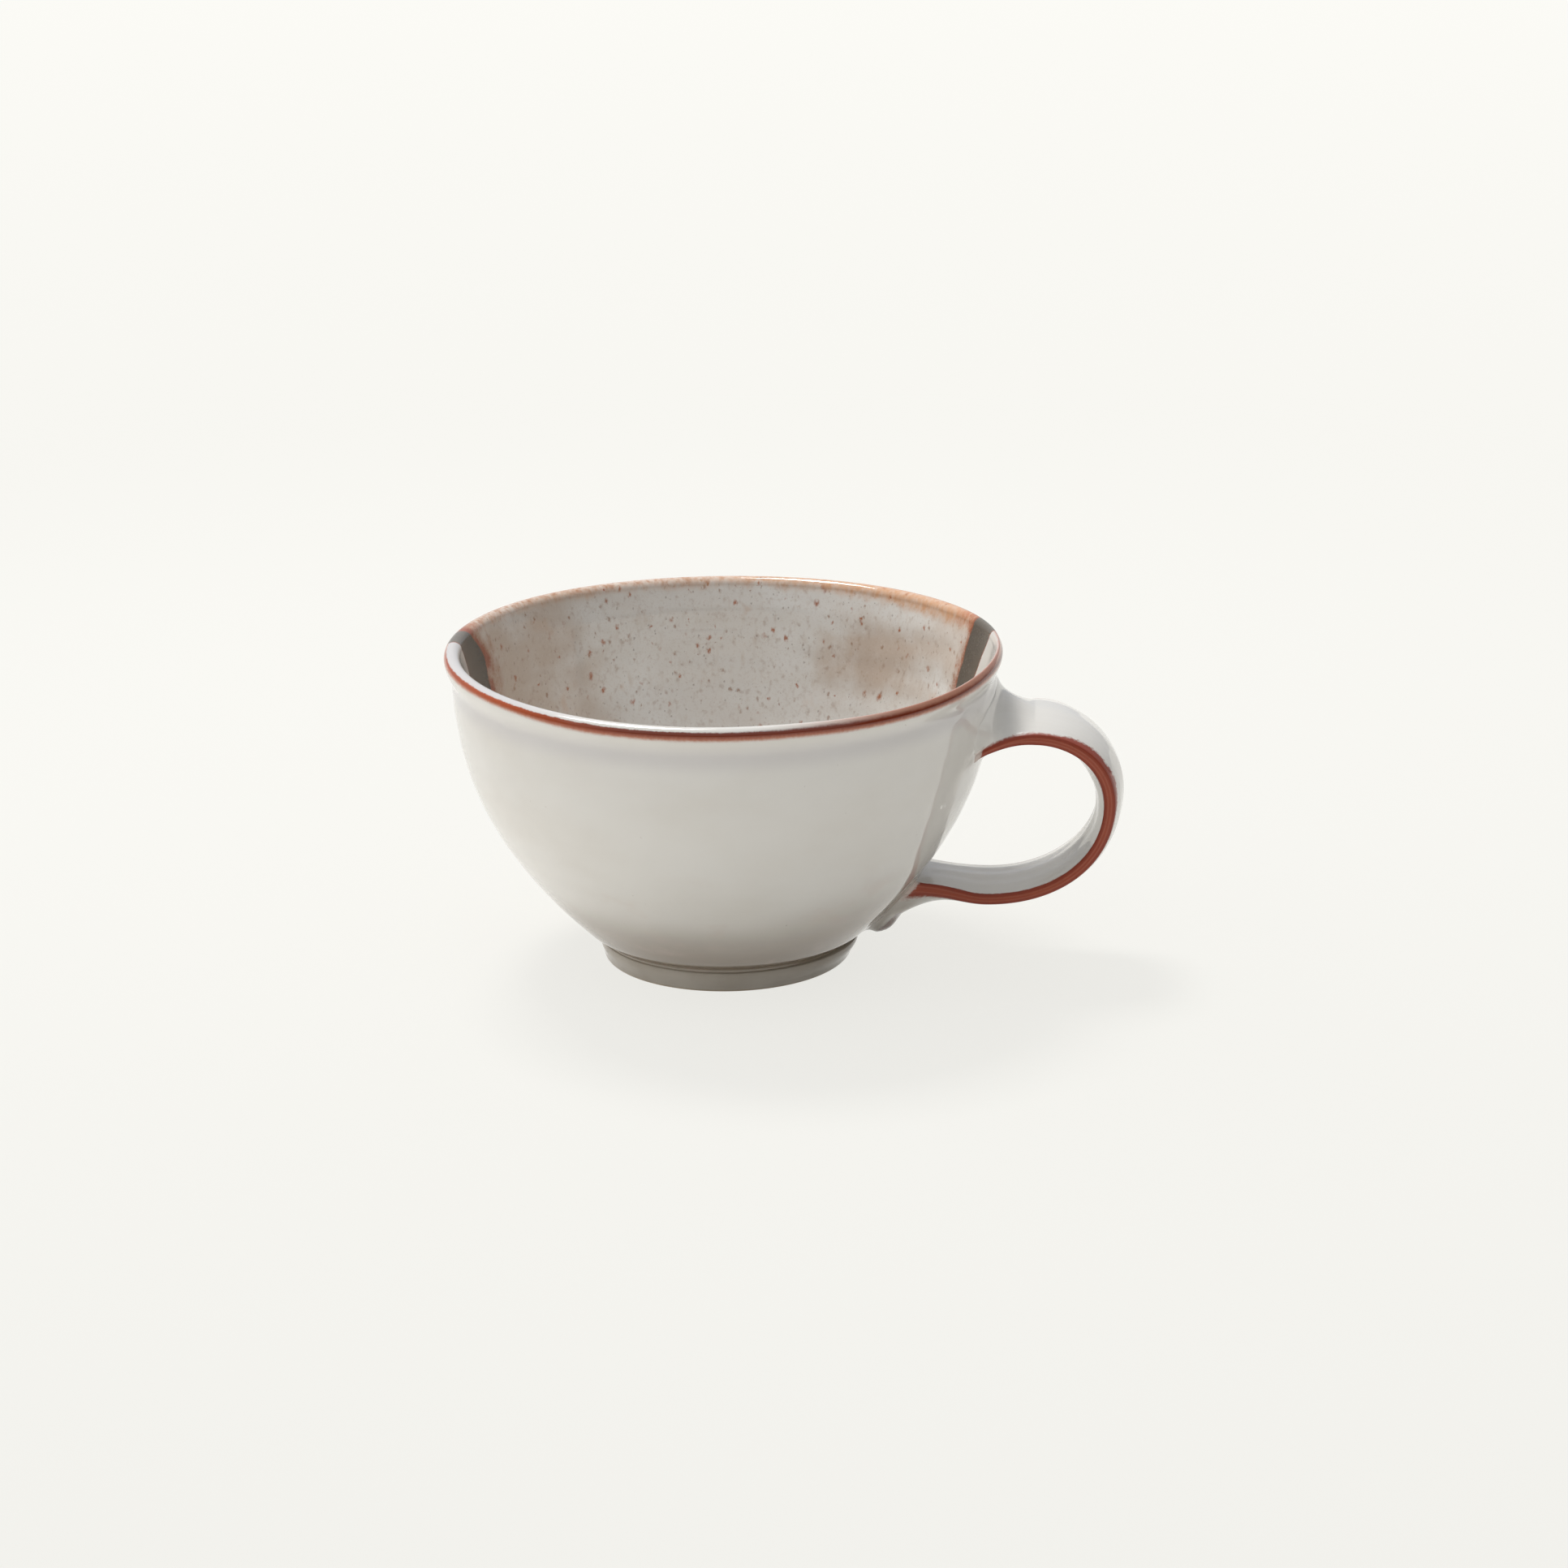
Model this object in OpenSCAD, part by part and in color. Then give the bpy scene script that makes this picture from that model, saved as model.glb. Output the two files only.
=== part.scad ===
// Cappuccino cup in hand-thrown stoneware: a wide round bowl on a low foot ring, a pulled strap
// handle luted to the wall, and a thin coat of glaze in two colours with a dark band between them.
// The bowl's axis is Z, the foot stands on z = 0 and the handle points along +X. Millimetres.

/* [Bowl] */
// Outside diameter of the lip
rim_d = 110; // [106:0.5:114]
// Height from the table to the crest of the lip
cup_h = 64.3; // [62:0.1:68]
// Thickness of the wall, glaze included
wall_t = 3.6; // [3.2:0.1:4.2]
// Thickness of the rounded lip
lip_t = 3.2; // [2.8:0.1:3.6]
// How far the lip flares out past the neck below it
lip_flare = 1.4; // [0.8:0.1:2]
// Depth of the neck below the crest of the lip
neck_drop = 6.3; // [5.5:0.1:7]
// Slope of the wall where it leaves the foot, in degrees from level
wall_slope = 42.4; // [40:0.2:46]
// How long the wall keeps that slope before it turns upright
wall_pull = 29.7; // [27:0.1:32]
// Height of the floor inside the bowl
floor_z = 8.6; // [8:0.1:10]

/* [Foot] */
// Diameter of the foot where the wall leaves it
foot_top_d = 53.2; // [51:0.2:55]
// Diameter of the foot at the table
foot_d = 49.4; // [47:0.2:51]
// Height of the foot ring
foot_h = 4.2; // [3.6:0.1:4.4]
// Width of the foot ring
foot_ring_w = 4.4; // [3.5:0.1:5.5]
// Rounding of the foot's edges
foot_round = 0.8; // [0.4:0.1:1]

/* [Handle] */
// Reach of the strap's middle line from the axis of the bowl
handle_reach = 76.2; // [74:0.2:78]
// Height of the strap's highest point
handle_top = 48.2; // [47:0.1:49]
// Height at which the strap reaches out furthest
handle_mid = 34.8; // [33:0.1:36]
// Height of the strap's lowest run
handle_low = 14.95; // [14.5:0.05:15.5]
// Width of the strap at the top
strap_top_w = 24; // [22:0.2:26]
// Width of the strap at its furthest reach
strap_mid_w = 20.6; // [19:0.2:22]
// Width of the strap at the bottom
strap_low_w = 17.6; // [16:0.2:19]
// Thickness of the strap's flat edges
strap_edge_t = 2.3; // [2:0.1:2.6]
// Swell of the strap's outer face
strap_crown = 1.9; // [1.4:0.1:2.2]
// Swell of the strap's inner face
strap_belly = 1.1; // [0.8:0.1:1.4]

/* [Glaze] */
// Thickness of the glaze on the bowl
coat_t = 0.35; // [0.3:0.05:0.5]
// Thickness of the rust-coloured glaze along the strap's edges
edge_coat_t = 0.4; // [0.3:0.05:0.6]
// Height of the rust-coloured line round the front of the lip
lip_line_h = 2.4; // [1.6:0.1:3]
// Distance from the axis to the front of the dark band
band_front = 4.3; // [2:0.1:8]
// Distance from the axis to the rear of the dark band
band_rear = 16; // [12:0.1:20]
// Turn of the dark band away from the handle's direction, in degrees
band_turn = 5.4; // [0:0.2:8]

/* [Hidden] */
$fn = 144;

clay = "#b9aa97";
slip_clay = "#8d7a66";
white_glaze = "#d2cec6";
speckled_glaze = "#b5ac9f";
dark_glaze = "#4b443c";
rust_glaze = "#8a4527";

rim_r = rim_d / 2;
lip_r = lip_t / 2;
lip_centre = [rim_r - lip_r, cup_h - lip_r];
neck = [rim_r - lip_flare, cup_h - neck_drop];
wall_start = [foot_top_d / 2, foot_h + 0.4];
neck_lean = [0.4, 15.4];

// The outside wall is one curve from the foot to the neck
wall_rise = [cos(wall_slope), sin(wall_slope)];
wall_curve = [wall_start, wall_start + wall_pull * wall_rise, neck - neck_lean, neck];

// The lip flares out of the neck on the outside and falls back to the wall on the inside
flare_pull = 1.9;
lip_curve = [neck, neck + [0, flare_pull], [rim_r, lip_centre[1] - flare_pull], [rim_r, lip_centre[1]]];
inner_neck = wall_point(1, wall_t);
inner_lip = [rim_r - lip_t, lip_centre[1]];
inner_lip_curve = [inner_lip, inner_lip - [0, flare_pull], inner_neck + [0, flare_pull], inner_neck];

// The inside follows the outside at the wall's thickness, then turns into the floor
turn_t = 0.3;
turn_point = wall_point(turn_t, wall_t);
floor_r = 12;
floor_pull = 12.5;
floor_curve = [turn_point, turn_point - floor_pull * unit(curve_dir(wall_curve, turn_t)),
               [floor_r + floor_pull, floor_z], [floor_r, floor_z]];

// The bowl sits on the foot ring inside this radius, and a fine groove runs round the ring below it
seat_r = foot_top_d / 2 - 0.9;
foot_flare = 0.4;
groove_z = foot_h - 0.8;
groove_h = 0.4;
groove_depth = 0.2;

// Steps along each stretch of the outlines
wall_steps = 26;
lip_steps = 5;
crest_steps = 10;
inside_steps = 16;
floor_steps = 10;
round_steps = 5;

// Curves, as four control points each, and points set off to the left of the way they run
function unit(v) = v / norm(v);
function curve(p, t) =
    pow(1 - t, 3) * p[0] + 3 * t * pow(1 - t, 2) * p[1] + 3 * t * t * (1 - t) * p[2] + pow(t, 3) * p[3];
function curve_dir(p, t) =
    pow(1 - t, 2) * (p[1] - p[0]) + 2 * t * (1 - t) * (p[2] - p[1]) + t * t * (p[3] - p[2]);
function left_of(v) = unit([-v[1], v[0]]);
function set_off(p, t, d) = curve(p, t) + d * left_of(curve_dir(p, t));
function wall_point(t, d) = set_off(wall_curve, t, d);
function ease(t) = t * t * (3 - 2 * t);
function mix(a, b, t) = a + (b - a) * t;
function reverse(list) = [for (i = [len(list) - 1:-1:0]) list[i]];

// The bowl's outline, from the foot up the outside, over the lip and down to the middle of the floor
function outside(inset) = [for (i = [0:wall_steps]) wall_point(i / wall_steps, inset)];
function outside_lip(inset) = [for (i = [1:lip_steps]) set_off(lip_curve, i / lip_steps, inset)];
function crest(inset) = [
    for (i = [1:crest_steps])
        let (a = 180 * i / crest_steps) lip_centre + (lip_r - inset) * [cos(a), sin(a)]
];
function inside_lip(inset) = [for (i = [1:lip_steps]) set_off(inner_lip_curve, i / lip_steps, inset)];
function inside(inset) = [
    for (i = [1:inside_steps]) wall_point(mix(1, turn_t, i / inside_steps), wall_t - inset)
];
function floor_turn(inset) = [for (i = [1:floor_steps]) set_off(floor_curve, i / floor_steps, inset)];
function outline(inset) = concat(
    outside(inset), outside_lip(inset), crest(inset), inside_lip(inset), inside(inset), floor_turn(inset),
    [[0, floor_z - inset]]
);

// The strap's middle line passes its top, its reach and its bottom, and both its ends sink into the wall
top_point = [61.7, handle_top];
reach_point = [handle_reach, handle_mid];
low_point = [52, handle_low];
upper_end = [49, handle_top - 3.6];
lower_end = [34.5, handle_low + 1.45];

// How long the line keeps its direction on either side of each of these points
top_pull = [4.7, 7.9];
reach_pull = [7.4, 10.8];
low_pull = [14.2, 5];
upper_end_pull = [3.7, 2.4];
lower_end_pull = [8.5, -0.6];
upper_curve = [top_point, top_point - [top_pull[0], 0], upper_end + upper_end_pull, upper_end];
reach_curve = [top_point, top_point + [top_pull[1], 0], reach_point + [0, reach_pull[0]], reach_point];
under_curve = [reach_point, reach_point - [0, reach_pull[1]], low_point + [low_pull[0], 0], low_point];
toe_curve = [low_point, low_point - [low_pull[1], 0], lower_end + lower_end_pull, lower_end];

// Along the strap, s is -1 in the upper wall, 0 at the top, 1 at the reach, 2 at the bottom and 3 in the
// lower wall
function strap_point(s) =
    s < 0 ? curve(upper_curve, -s)
    : s < 1 ? curve(reach_curve, s)
    : s < 2 ? curve(under_curve, s - 1)
    : curve(toe_curve, s - 2);
function strap_heading(s) =
    s < 0 ? -curve_dir(upper_curve, -s)
    : s < 1 ? curve_dir(reach_curve, s)
    : s < 2 ? curve_dir(under_curve, s - 1)
    : curve_dir(toe_curve, s - 2);

// Each root fans out over the wall: half width and height of the fan, and half its angle
upper_fan = [21, 6.8, 125];
lower_fan = [10.6, 10.6, 100];
// How late the fans rise and widen on their way to the wall
upper_rise = 1.2;
lower_rise = 5;
fan_widening = 3;
// Where along s each root meets the wall, which way it then leans, and the wall's radius there
upper_wall_s = 0.82;
lower_wall_s = 0.85;
upper_lean = [0.17, 1];
lower_lean = [-0.6, -0.8];
upper_wall_r = 52;
lower_wall_r = 36;
// What the strap's edges and belly gain on their way to the wall, and the lower root's tilt
upper_edge_gain = -0.5;
lower_edge_gain = 0.4;
upper_belly_gain = 1;
lower_belly_gain = -0.5;
toe_roll = 0.9;

// How far a root has spread, from 0 on the strap to 1 where it meets the wall
function spread(s) =
    s < 0 ? min(-s / upper_wall_s, 1) : s > 2 ? min((s - 2) / lower_wall_s, 1) : 0;
function fan(s) = s < 0 ? upper_fan : lower_fan;
function fan_rise(s) = pow(spread(s), s < 0 ? upper_rise : lower_rise);
function fan_widen(s) = pow(spread(s), fan_widening);
function strap_out(s) =
    unit(mix(left_of(strap_heading(s)), unit(s < 0 ? upper_lean : lower_lean), ease(spread(s))));

// Section of the strap along s
function half_width(s) =
    (s < 0 ? strap_top_w
     : s < 1 ? mix(strap_top_w, strap_mid_w, ease(s))
     : s < 2 ? mix(strap_mid_w, strap_low_w, ease(s - 1))
     : strap_low_w) / 2;
function half_edge(s) =
    strap_edge_t / 2 + (s < 0 ? upper_edge_gain * spread(s) : lower_edge_gain * pow(spread(s), 2));
function belly(s) =
    strap_belly + (s < 0 ? upper_belly_gain : lower_belly_gain) * pow(spread(s), 3);
function roll(s) = s < 0 ? 0 : toe_roll * ease(spread(s));

// Points of the outer and inner faces, with q from -1 at the front edge to 1 at the rear edge
function outer_y(s, q) = mix(half_width(s) * q, fan(s)[0] * sin(fan(s)[2] * q), fan_widen(s));
function outer_h(s, q) =
    half_edge(s)
    + mix(strap_crown * (1 - q * q), fan(s)[1] * (cos(fan(s)[2] * q) - cos(fan(s)[2])), fan_rise(s));
function inner_y(s, q) = outer_y(s, 1) * q;
function inner_h(s, q) = -half_edge(s) - belly(s) * (1 - q * q);
function wrap(s, y) =
    let (r = s < 0 ? upper_wall_r : lower_wall_r) fan_widen(s) * (r - sqrt(r * r - y * y));
function section_point(s, q, y, h) =
    let (p = strap_point(s) + (h + roll(s) * q) * strap_out(s)) [p[0] - wrap(s, y), y, p[1]];
function section_ring(s, shares) = concat(
    [for (q = shares) section_point(s, q, outer_y(s, q), outer_h(s, q))],
    [for (q = reverse(shares)) section_point(s, q, inner_y(s, q), inner_h(s, q))]
);

// The strap ends short of the wall, where the roots take over
upper_joint_s = -0.5;
lower_joint_s = 2.6;
function spaced(from, to, steps) = [for (i = [0:steps]) mix(from, to, i / steps)];
upper_stations = spaced(-1, upper_joint_s, 12);
strap_stations = spaced(upper_joint_s, lower_joint_s, 40);
lower_stations = spaced(lower_joint_s, 3, 10);

// Shares of the half width across the faces, and out to the edges that carry rust-coloured glaze
face_steps = 12;
function face_share(s) = 1 - edge_coat_t / half_width(s);
function face_shares(s) = spaced(-face_share(s), face_share(s), face_steps);
function whole_shares(s) = concat([-1], face_shares(s), [1]);

// A closed skin over rings whose first half is an outer row and whose second half an inner row
module skin(rings) {
    count = len(rings[0]);
    last = len(rings) - 1;
    sides = [
        for (i = [0:last - 1], j = [0:count - 1])
            let (a = i * count + j, b = i * count + (j + 1) % count)
            each [[a, b, a + count], [b, b + count, a + count]]
    ];
    ladder = [
        for (j = [0:count / 2 - 2])
            each [[j, count - 2 - j, j + 1], [j, count - 1 - j, count - 2 - j]]
    ];
    last_ladder = [for (t = ladder) [for (k = [2:-1:0]) t[k] + last * count]];
    polyhedron([for (r = rings) each r], concat(ladder, sides, last_ladder), convexity = 6);
}

module root_body(stations) {
    skin([for (s = stations) section_ring(s, whole_shares(s))]);
}

// The space inside the bowl's outside, filled in to the axis
module filled_bowl() {
    rotate_extrude()
        polygon(concat(outside(0), outside_lip(0), [[lip_centre[0], cup_h], [0, cup_h], [0, wall_start[1]]]));
}

module outside_coat() {
    rotate_extrude() polygon(concat(outside(0), reverse(outside(coat_t))));
}

module whole_coat() {
    rotate_extrude() polygon(concat(outline(0), reverse(outline(coat_t))));
}

// A slab across the cup between two distances from the axis, turned with the dark band
module across(from, to) {
    rotate([0, 0, band_turn]) translate([-rim_d, from, -1]) cube([2 * rim_d, to - from, cup_h + 2]);
}

module lip_zone() {
    rotate_extrude()
        translate([lip_centre[0] + lip_r / 3, lip_centre[1] - 0.6 * lip_line_h]) square([lip_t, lip_line_h]);
}

module root_prints() {
    root_body(upper_stations);
    root_body(lower_stations);
}

module bowl() {
    color(clay) rotate_extrude() polygon(concat(outline(coat_t), [[0, foot_h], [seat_r, foot_h]]));
}

module foot_ring() {
    outer = foot_d / 2;
    inner = outer - foot_ring_w;
    function corner(x, from) = [
        for (i = [0:round_steps])
            let (a = from + 90 * i / round_steps) [x + foot_round * cos(a), foot_round * (1 + sin(a))]
    ];
    color(clay) rotate_extrude() polygon(concat(
        corner(inner + foot_round, 180),
        corner(outer - foot_round, 270),
        [[outer + foot_flare, groove_z - groove_h], [outer + foot_flare - groove_depth, groove_z],
         [outer + foot_flare, groove_z + groove_h], [seat_r, foot_h], [inner - foot_flare, foot_h]]
    ));
}

module handle_strap() {
    color(white_glaze) skin([for (s = strap_stations) section_ring(s, face_shares(s))]);
}

module upper_root() {
    color(white_glaze) difference() {
        root_body(upper_stations);
        filled_bowl();
    }
}

module lower_root() {
    color(white_glaze) difference() {
        root_body(lower_stations);
        filled_bowl();
    }
}

module upper_slip() {
    color(slip_clay) intersection() {
        outside_coat();
        root_body(upper_stations);
    }
}

module lower_slip() {
    color(slip_clay) intersection() {
        outside_coat();
        root_body(lower_stations);
    }
}

module front_glaze() {
    color(white_glaze) difference() {
        whole_coat();
        across(band_front, rim_d);
        lip_zone();
        root_prints();
    }
}

module rear_glaze() {
    color(speckled_glaze) intersection() {
        whole_coat();
        across(band_rear, rim_d);
    }
}

module dark_band() {
    color(dark_glaze) difference() {
        intersection() {
            whole_coat();
            across(band_front, band_rear);
        }
        root_prints();
    }
}

module lip_line() {
    color(rust_glaze) difference() {
        intersection() {
            whole_coat();
            lip_zone();
        }
        across(band_front, rim_d);
    }
}

module edge_lines() {
    color(rust_glaze) {
        skin([for (s = strap_stations) section_ring(s, [-1, -face_share(s)])]);
        skin([for (s = strap_stations) section_ring(s, [face_share(s), 1])]);
    }
}

bowl();
foot_ring();
handle_strap();
upper_root();
lower_root();
upper_slip();
lower_slip();
front_glaze();
rear_glaze();
dark_band();
lip_line();
edge_lines();
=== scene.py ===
import math

import bmesh
import bpy
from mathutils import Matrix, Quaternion, Vector, noise
from mathutils.bvhtree import BVHTree


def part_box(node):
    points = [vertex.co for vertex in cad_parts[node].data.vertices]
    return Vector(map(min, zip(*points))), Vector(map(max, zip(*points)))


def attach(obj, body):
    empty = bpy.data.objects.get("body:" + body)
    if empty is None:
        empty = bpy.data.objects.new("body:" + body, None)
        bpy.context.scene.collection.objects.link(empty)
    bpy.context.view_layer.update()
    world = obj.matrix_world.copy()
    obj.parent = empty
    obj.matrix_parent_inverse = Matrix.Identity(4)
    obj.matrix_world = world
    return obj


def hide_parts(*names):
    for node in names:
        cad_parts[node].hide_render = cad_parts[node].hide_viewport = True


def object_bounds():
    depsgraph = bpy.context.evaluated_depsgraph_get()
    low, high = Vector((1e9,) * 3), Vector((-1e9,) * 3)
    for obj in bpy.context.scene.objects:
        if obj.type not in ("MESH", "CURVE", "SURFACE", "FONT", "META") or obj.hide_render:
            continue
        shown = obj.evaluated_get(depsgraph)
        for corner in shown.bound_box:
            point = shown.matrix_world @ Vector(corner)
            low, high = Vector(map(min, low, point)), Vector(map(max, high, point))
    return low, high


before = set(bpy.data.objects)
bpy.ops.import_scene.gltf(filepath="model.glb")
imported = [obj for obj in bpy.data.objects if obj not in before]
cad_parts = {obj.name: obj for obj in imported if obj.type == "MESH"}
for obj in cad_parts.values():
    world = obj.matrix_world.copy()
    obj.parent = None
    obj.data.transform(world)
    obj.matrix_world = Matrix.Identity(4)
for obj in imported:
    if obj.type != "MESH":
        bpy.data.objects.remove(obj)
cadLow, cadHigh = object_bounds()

mm = 0.001
print("frame loaded:", len(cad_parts), "nodes")


# curves in the plane of the cup's outline, four control points each
def curveAt(points, t):
    a, b, c, d = points
    u = 1 - t
    return u**3 * a + 3 * t * u**2 * b + 3 * t * t * u * c + t**3 * d


def curveHeading(points, t):
    a, b, c, d = points
    u = 1 - t
    return u * u * (b - a) + 2 * t * u * (c - b) + t * t * (d - c)


def leftOf(heading):
    return Vector((-heading.y, heading.x)).normalized()


def setOff(points, t, distance):
    return curveAt(points, t) + distance * leftOf(curveHeading(points, t))


def mix(a, b, t):
    return a + (b - a) * t


def ease(t):
    return t * t * (3 - 2 * t)


# 0 at low, 1 at high and smooth between, whichever of them is larger
def ramp(value, low, high):
    return ease(min(1, max(0, (value - low) / (high - low))))


def steps(first, last, count):
    return [mix(first, last, i / count) for i in range(count + 1)]


# a finished mesh becomes a piece that stands for its nodes
def addPiece(bm, name, nodes):
    mesh = bpy.data.meshes.new(name)
    bm.to_mesh(mesh)
    bm.free()
    mesh.shade_smooth()
    piece = bpy.data.objects.new(name, mesh)
    bpy.context.scene.collection.objects.link(piece)
    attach(piece, "root")
    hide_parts(*nodes)
    print("piece", name, len(mesh.polygons), "faces")
    return piece


# an outline in x and z, turned once round the z axis; the marks are kept with its points
def spinOutline(bm, points, turns, closed=False, layer=None, marks=()):
    verts = [bm.verts.new((p.x, 0, p.y)) for p in points]
    for v, mark in zip(verts, marks):
        v[layer] = mark
    pairs = list(zip(verts, verts[1:])) + ([(verts[-1], verts[0])] if closed else [])
    edges = [bm.edges.new(pair) for pair in pairs]
    bmesh.ops.spin(bm, geom=verts + edges, cent=(0, 0, 0), axis=(0, 0, 1), angle=math.tau,
                   steps=turns, use_merge=True)
    bmesh.ops.remove_doubles(bm, verts=bm.verts, dist=0.001 * mm)
    bmesh.ops.recalc_face_normals(bm, faces=bm.faces)


bowl = {
    "rimRadius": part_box("lip_line")[1].x,
    "height": cadHigh.z,
    "wall": 3.6 * mm,
    "lip": 3.2 * mm,
    "lipFlare": 1.4 * mm,
    "neckDrop": 6.3 * mm,
    "neckLean": Vector((0.4, 15.4)) * mm,
    "flarePull": 1.9 * mm,
    "innerFlare": Vector((1.1, 3.2)) * mm,
    "innerBlend": (0.82, 5.5 * mm),     # where the lip's inner curve meets the wall, and its pull there
    "footTop": 26.6 * mm,
    "footHeight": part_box("foot_ring")[1].z,
    "wallRise": 0.85 * mm,          # from the top of the foot to where the wall's curve starts
    "wallSlope": math.radians(42.2),
    "wallPull": 29.8 * mm,
    "shoulder": Vector((25.5, 4.7)) * mm,
    "shoulderPull": (0.45 * mm, 1.6 * mm),
    "shoulderTurn": 0.035,
    "groove": Vector((25.3, 4.35)) * mm,
    "baseSink": 0.05 * mm,          # the base lies this far below the top of the foot
    "baseInset": 0.6 * mm,          # and ends this far in from the groove
    "floor": 8.6 * mm,
    "floorFlat": 12 * mm,
    "floorPull": 12.5 * mm,
    "insideTurn": 0.3,
    "turns": 288,
    "counts": {                     # steps along each stretch of the outline
        "base": 5, "groove": 4, "shoulder": 10, "wall": 76, "flare": 12,
        "crest": 22, "innerFlare": 24, "inside": 40, "floorTurn": 30, "floorMiddle": 8,
    },
    "untouched": 1 * mm,            # the axis and the base have no marks of the hands up to here
    "outsideRings": 0.024 * mm,     # depth of the throwing rings
    "insideRings": 0.05 * mm,
    "ringPitch": 6.4 * mm,
    "ringNoise": (1.3, 1.6),        # how fast the rings stray from an even climb, and how far
    "ringFade": 9,                  # millimetres from the crest over which they fade out
    "wobble": 0.16 * mm,
    "wobbleNoise": (0.9, Vector((7, 3, 1))),
    "noiseHeight": 18 * mm,
    "rimDip": 0.98 * mm,            # how far the lip sinks in front and behind
    "rimLean": 0.1 * mm,            # and opposite the handle
    "lipThin": (1.5 * mm, math.radians(-20)),       # the lip's inner side is thinner round this angle
    "thinRound": (0.5, 0.95),       # cosines of the angle from there: none and all of it
    "thinOver": ((-1.8, 1.8), (18, 4)),             # the same in millimetres past the crest
    # the lip is lower here: how much, at which angle and how far round
    "lipSink": (0.5 * mm, math.radians(-40), math.radians(34)),
    "sinkOver": (14, 0),
}


# the bowl's outline from the axis under the base, up the outside, over the lip and down to the floor
def bowlOutline():
    b = bowl
    lipRound = b["lip"] / 2
    lipCentre = Vector((b["rimRadius"] - lipRound, b["height"] - lipRound))
    neck = Vector((b["rimRadius"] - b["lipFlare"], b["height"] - b["neckDrop"]))
    wallStart = Vector((b["footTop"], b["footHeight"] + b["wallRise"]))
    rise = b["wallPull"] * Vector((math.cos(b["wallSlope"]), math.sin(b["wallSlope"])))
    wallCurve = [wallStart, wallStart + rise, neck - b["neckLean"], neck]
    pull = Vector((0, b["flarePull"]))
    lipSide = Vector((b["rimRadius"], lipCentre.y))
    lipCurve = [neck, neck + pull, lipSide - pull, lipSide]
    innerTop, innerPull = b["innerBlend"]
    innerNeck = setOff(wallCurve, innerTop, b["wall"])
    innerHeading = curveHeading(wallCurve, innerTop).normalized()
    innerLip = Vector((b["rimRadius"] - b["lip"], lipCentre.y))
    innerCurve = [innerLip, innerLip - b["innerFlare"], innerNeck + innerPull * innerHeading, innerNeck]
    turn = setOff(wallCurve, b["insideTurn"], b["wall"])
    turnPull = b["floorPull"] * curveHeading(wallCurve, b["insideTurn"]).normalized()
    floorEdge = Vector((b["floorFlat"], b["floor"]))
    floorCurve = [turn, turn - turnPull, floorEdge + Vector((b["floorPull"], 0)), floorEdge]

    wallFoot = curveAt(wallCurve, b["shoulderTurn"])
    wallHeading = curveHeading(wallCurve, b["shoulderTurn"]).normalized()
    shoulderCurve = [b["shoulder"], b["shoulder"] + Vector((0, b["shoulderPull"][0])),
                     wallFoot - b["shoulderPull"][1] * wallHeading, wallFoot]

    count = b["counts"]
    baseLevel = b["footHeight"] - b["baseSink"]
    baseEdge = b["groove"].x - b["baseInset"]
    base = [Vector((r, baseLevel)) for r in steps(0, baseEdge, count["base"])]
    base += [b["groove"].lerp(b["shoulder"], ease(t)) for t in steps(0, 1, count["groove"])[:-1]]
    outside = [curveAt(shoulderCurve, t) for t in steps(0, 1, count["shoulder"])]
    outside += [curveAt(wallCurve, t) for t in steps(b["shoulderTurn"], 1, count["wall"])[1:]]
    flare = [curveAt(lipCurve, t) for t in steps(0, 1, count["flare"])[1:]]
    crest = [lipCentre + lipRound * Vector((math.cos(a), math.sin(a)))
             for a in steps(0, math.pi, count["crest"])[1:]]
    innerFlare = [curveAt(innerCurve, t) for t in steps(0, 1, count["innerFlare"])[1:]]
    inside = [setOff(wallCurve, t, b["wall"])
              for t in steps(innerTop, b["insideTurn"], count["inside"])[1:]]
    floor = [curveAt(floorCurve, t) for t in steps(0, 1, count["floorTurn"])[1:]]
    middle = [Vector((r, b["floor"])) for r in steps(b["floorFlat"], 0, count["floorMiddle"])[1:]]
    points = base + outside + flare + crest + innerFlare + inside + floor + middle
    top = len(base + outside + flare) + count["crest"] // 2 - 1     # the crest's highest point
    return points, top


# millimetres along the outline from the crest of the lip, below zero on the outside
def crestDistances(points, top):
    along = [0.0]
    for a, b in zip(points, points[1:]):
        along.append(along[-1] + (b - a).length)
    return [(d - along[top]) / mm for d in along]


def addBowl():
    points, top = bowlOutline()
    bm = bmesh.new()
    layer = bm.verts.layers.float.new("crest")
    spinOutline(bm, points, bowl["turns"], False, layer, crestDistances(points, top))
    return bm, layer


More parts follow.
